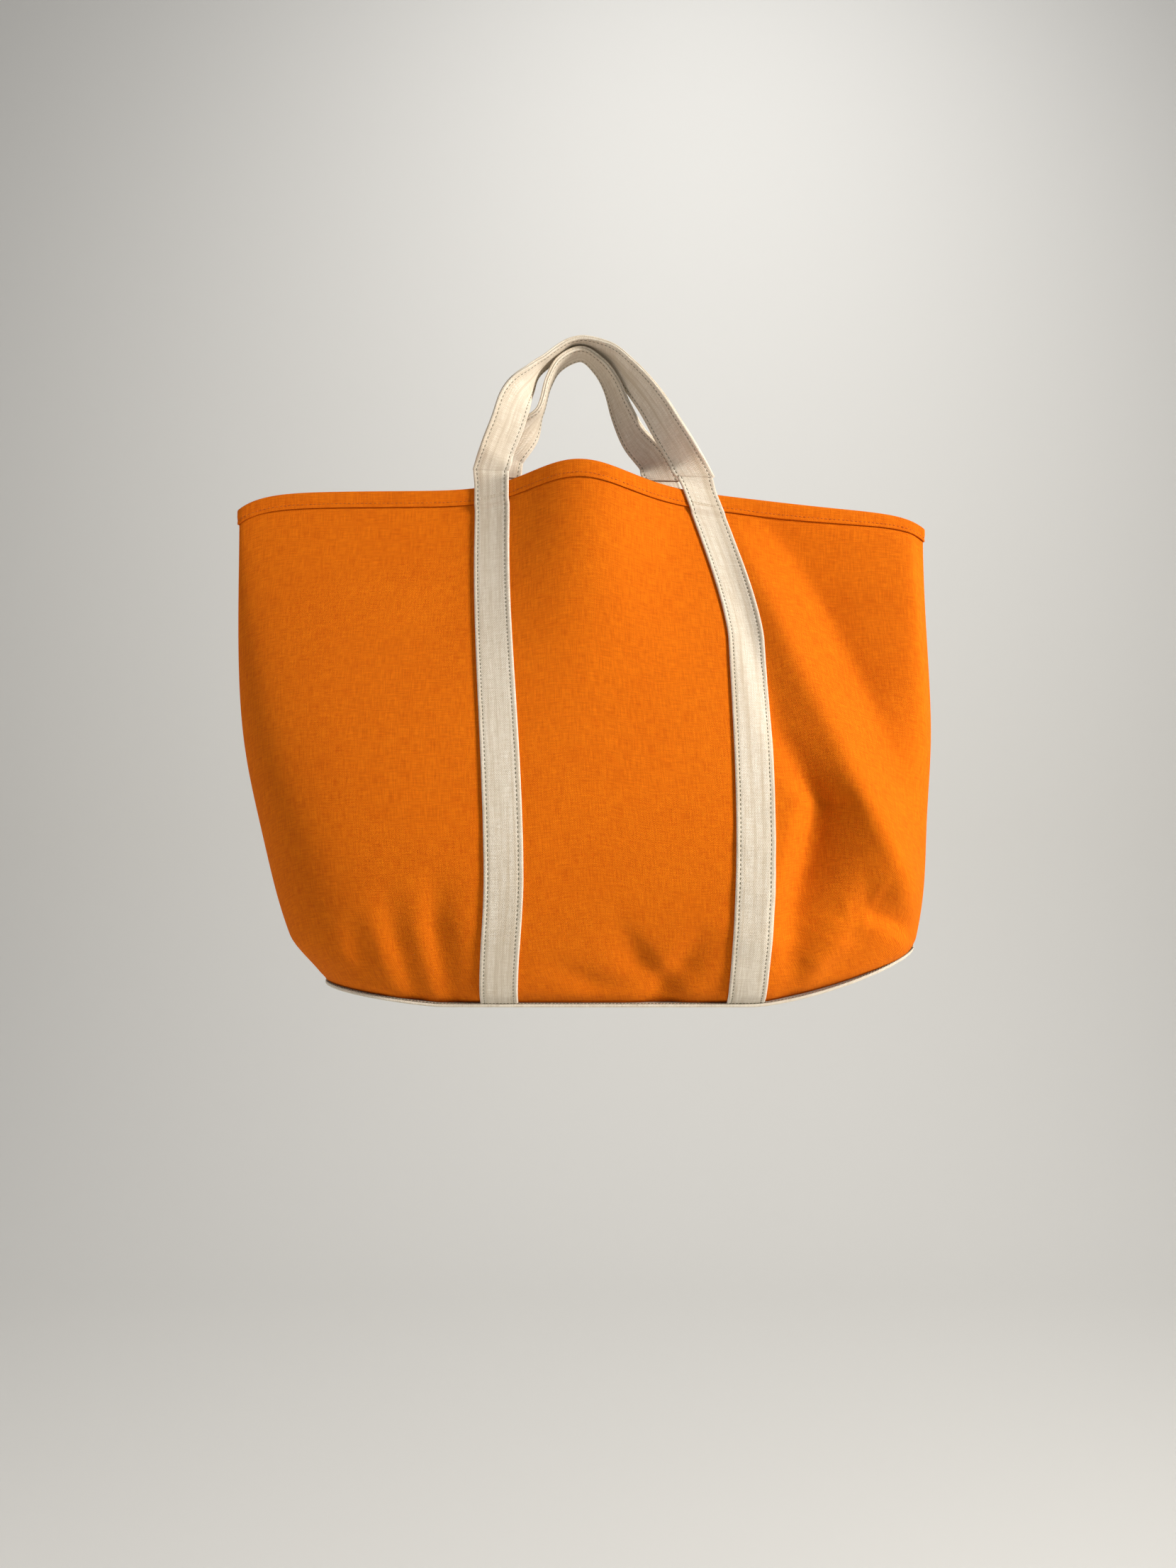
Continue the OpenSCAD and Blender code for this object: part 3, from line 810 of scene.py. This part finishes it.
def base_piece():
    """The doubled base: a slab with rolled edges that follows the lifted corners."""
    steps = 180
    x = np.linspace(left_x(1) + 1.2, right_x(1) - 1.2, steps)
    k = k_of(q_at(x, 1.0))
    one = np.ones_like(k)
    fore = bare(FRONT, k, one)[:, 1] + 1.2
    aft = bare(BACK, k, one)[:, 1] - 1.0
    half = (aft - fore) / 2
    middle = (aft + fore) / 2
    radius = np.minimum(1.5, half * 0.9)
    angle = np.linspace(0, np.pi, 9)
    flat = np.linspace(-1, 1, 15)[1:-1]
    thickness = 3.0
    # Each ring's corners as (y, height above the slab's middle)
    rings = []
    for i in range(steps):
        reach = half[i] - radius[i]
        far = [(middle[i] + reach + radius[i] * math.sin(a), thickness / 2 * math.cos(a)) for a in angle]
        near = [(middle[i] - reach - radius[i] * math.sin(a), -thickness / 2 * math.cos(a)) for a in angle]
        top = [(middle[i] + s * reach, thickness / 2) for s in flat]
        under = [(middle[i] - s * reach, -thickness / 2) for s in flat]
        section = top + far + under + near
        rings.append([(x[i], y, base_z(x[i]) - 0.15 - thickness / 2 + h) for y, h in section])
    rings = np.array(rings)
    along = np.concatenate([[0], np.cumsum(np.linalg.norm(np.diff(rings[:, 0], axis=0), axis=-1))])
    round_steps = np.linalg.norm(np.diff(rings, axis=1), axis=-1)
    around = np.concatenate([np.zeros((steps, 1)), np.cumsum(round_steps, 1)], 1)
    cloth = np.stack([np.broadcast_to(along[:, None], around.shape), around], -1)
    return swept("base_canvas", rings, cloth, BASE_CREAM)


base = base_piece()


def base_stitches(side):
    k = np.linspace(0.05, 0.95, 900)
    one = np.ones_like(k)
    p = bare(side, k, one)
    p[:, 1] += side * 1.4
    p[:, 2] = base_z(p[:, 0]) - 0.15
    normals = np.tile([0, -0.5 * side, 0.87], (len(k), 1))
    return stitch_row(p, unit(normals), 2.6)


base_thread = stitches("base_seam_stitching", [base_stitches(FRONT), base_stitches(BACK)],
                       2.0, 0.42, OLIVE_THREAD)


def bound_seam(name, side, k_range, v_range, cols, rows, along_v):
    """A strip of binding tape folded round seam allowances, crowned across its width."""
    k, v = np.meshgrid(np.linspace(*k_range, cols), np.linspace(*v_range, rows))
    across = np.linspace(-1, 1, cols)[None] if along_v else np.linspace(-1, 1, rows)[:, None]
    body = 0.35 + 0.65 * np.sqrt(np.maximum(1 - np.abs(across) ** 4, 0))
    thin = pressed(k, v)
    outer = -(CANVAS + 0.3) * thin
    inner = outer - 2.0 * body * thin
    return closed_sheet(name, lifted(side, k, v, outer + 0 * body), lifted(side, k, v, inner), TAPE)


# The v at which the side bindings end and the lower ones begin
BOUND_LOW = 1 - drop(11)
SIDE_SPAN = (drop(16), BOUND_LOW - 0.004)
left_side_tape = bound_seam("left_side_binding", FRONT, (0.012, 0.058), SIDE_SPAN, 9, 90, True)
right_side_tape = bound_seam("right_side_binding", FRONT, (0.942, 0.988), SIDE_SPAN, 9, 90, True)
front_base_tape = bound_seam("front_base_binding", FRONT, (0.06, 0.94), (BOUND_LOW, 0.99), 160, 8, False)
back_base_tape = bound_seam("back_base_binding", BACK, (0.06, 0.94), (BOUND_LOW, 0.99), 120, 8, False)


def joined(name, objects):
    """Several meshes as one."""
    with bpy.context.temp_override(active_object=objects[0], object=objects[0],
                                   selected_objects=objects, selected_editable_objects=objects):
        bpy.ops.object.join()
    objects[0].name = name
    return objects[0]


def corner_tape(name, k_range):
    return joined(name, [bound_seam(f"{name}_{side}", side, k_range, (BOUND_LOW, 0.99), 12, 8, False)
                         for side in (FRONT, BACK)])


left_corner_tape = corner_tape("left_corner_binding", (0.006, 0.058))
right_corner_tape = corner_tape("right_corner_binding", (0.942, 0.994))


def bar_tack(strap, middle):
    """Two dense rows of stitches across the strap where it crosses the hem's lower edge."""
    rows = []
    count = 34
    for down in (BAND_HEIGHT - 3.6, BAND_HEIGHT - 2.4):
        a = np.linspace(-10, 10, count)
        v = np.full(count, drop(down))
        centre = strap.sewn(middle, v, a, 0.88)
        normal = unit(strap.sewn(middle, v, a, 1.4) - centre)
        step = unit(strap.sewn(middle, v + drop(1), a + 0.25, 0.88) - centre)
        rows.append((centre, step, normal))
    return rows


tacks = stitches(
    "rim_bar_tacks",
    bar_tack(front_strap, left_strap_x) + bar_tack(front_strap, right_strap_x)
    + bar_tack(back_strap, back_left_strap_x) + bar_tack(back_strap, back_right_strap_x),
    1.6, 0.20, CREAM)

# ---------------------------------------------------------------- places in the frame

for piece, slot_name, nodes in (
    (front_panel, "body_canvas", ["front_panel"]),
    (back_panel, "body_canvas", ["back_panel"]),
    (front_hem, "body_canvas", ["front_rim_band"]),
    (back_hem, "body_canvas", ["back_rim_band"]),
    (hem_thread, "thread", []),
    (base, "natural_canvas", ["base_panel"]),
    (base_thread, "thread", []),
    (left_side_tape, "binding_tape", ["left_side_seam_binding"]),
    (right_side_tape, "binding_tape", ["right_side_seam_binding"]),
    (front_base_tape, "binding_tape", ["front_base_seam_binding"]),
    (back_base_tape, "binding_tape", ["back_base_seam_binding"]),
    (left_corner_tape, "binding_tape", ["left_corner_seam_binding"]),
    (right_corner_tape, "binding_tape", ["right_corner_seam_binding"]),
    (tacks, "thread", ["rim_bartacks"]),
):
    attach(piece, "bag")
    if nodes:
        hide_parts(*nodes)
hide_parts("front_left_strap", "front_right_strap", "front_handle_outer")
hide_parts("front_handle_lining")
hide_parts("back_left_strap", "back_right_strap", "back_handle_outer")
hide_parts("back_handle_lining")

# ---------------------------------------------------------------- stage, light and camera


def stage_piece():
    """A pale floor that curves up into a far backdrop."""
    floor, back, radius = -1.7, 3.4, 1.2
    profile = [(-5.0, floor), (back - radius, floor)]
    profile += [(back - radius + radius * math.sin(a), floor + radius - radius * math.cos(a))
                for a in np.linspace(0, math.pi / 2, 17)[1:]]
    profile.append((back, 4.5))
    points = [(x, y, z) for x in (-7.0, 7.0) for y, z in profile]
    n = len(profile)
    faces = [(i, i + 1, n + i + 1, n + i) for i in range(n - 1)]
    mesh = bpy.data.meshes.new("stage")
    mesh.from_pydata(points, [], faces)
    mesh.polygons.foreach_set("use_smooth", np.ones(len(mesh.polygons), bool))
    obj = bpy.data.objects.new("stage", mesh)
    bpy.context.scene.collection.objects.link(obj)
    plaster = bpy.data.materials.new("pale_stage")
    plaster.use_nodes = True
    shader = plaster.node_tree.nodes["Principled BSDF"]
    shader.inputs["Base Color"].default_value = (0.80, 0.79, 0.76, 1)
    shader.inputs["Roughness"].default_value = 0.9
    shader.inputs["Specular IOR Level"].default_value = 0.1
    mesh.materials.append(plaster)


stage_piece()


def soft_light(name, place, target, size, power, colour):
    data = bpy.data.lights.new(name, "AREA")
    data.shape = "DISK"
    data.size = size
    data.energy = power
    data.color = colour
    obj = bpy.data.objects.new(name, data)
    bpy.context.scene.collection.objects.link(obj)
    obj.location = place
    obj.rotation_euler = (Vector(target) - Vector(place)).to_track_quat("-Z", "Y").to_euler()


soft_light("key", (2.2, -1.25, 0.45), (0.0, 0.0, -0.3), 0.7, 107, (1.0, 0.96, 0.90))
soft_light("left", (-2.4, -0.5, 0.2), (0.0, 0.0, -0.3), 1.2, 17, (1.0, 0.97, 0.93))
soft_light("fill", (-0.8, -2.6, 0.3), (0.0, 0.0, -0.3), 2.4, 5, (0.97, 0.98, 1.0))
soft_light("backdrop", (0.5, 1.2, 2.6), (0.3, 3.2, -0.6), 2.5, 45, (1.0, 1.0, 1.0))

world = bpy.data.worlds.new("pale")
bpy.context.scene.world = world
world.use_nodes = True
world.node_tree.nodes["Background"].inputs["Color"].default_value = (0.92, 0.93, 0.95, 1)
world.node_tree.nodes["Background"].inputs["Strength"].default_value = 0.17
bpy.context.scene.view_settings.view_transform = "Standard"

camera_data = bpy.data.cameras.new("camera")
camera_data.lens = 27.03
camera = bpy.data.objects.new("camera", camera_data)
bpy.context.scene.collection.objects.link(camera)
camera.location = (0.0055, -0.930, -0.339)
camera.rotation_euler = (math.pi / 2, 0, 0)
bpy.context.scene.camera = camera
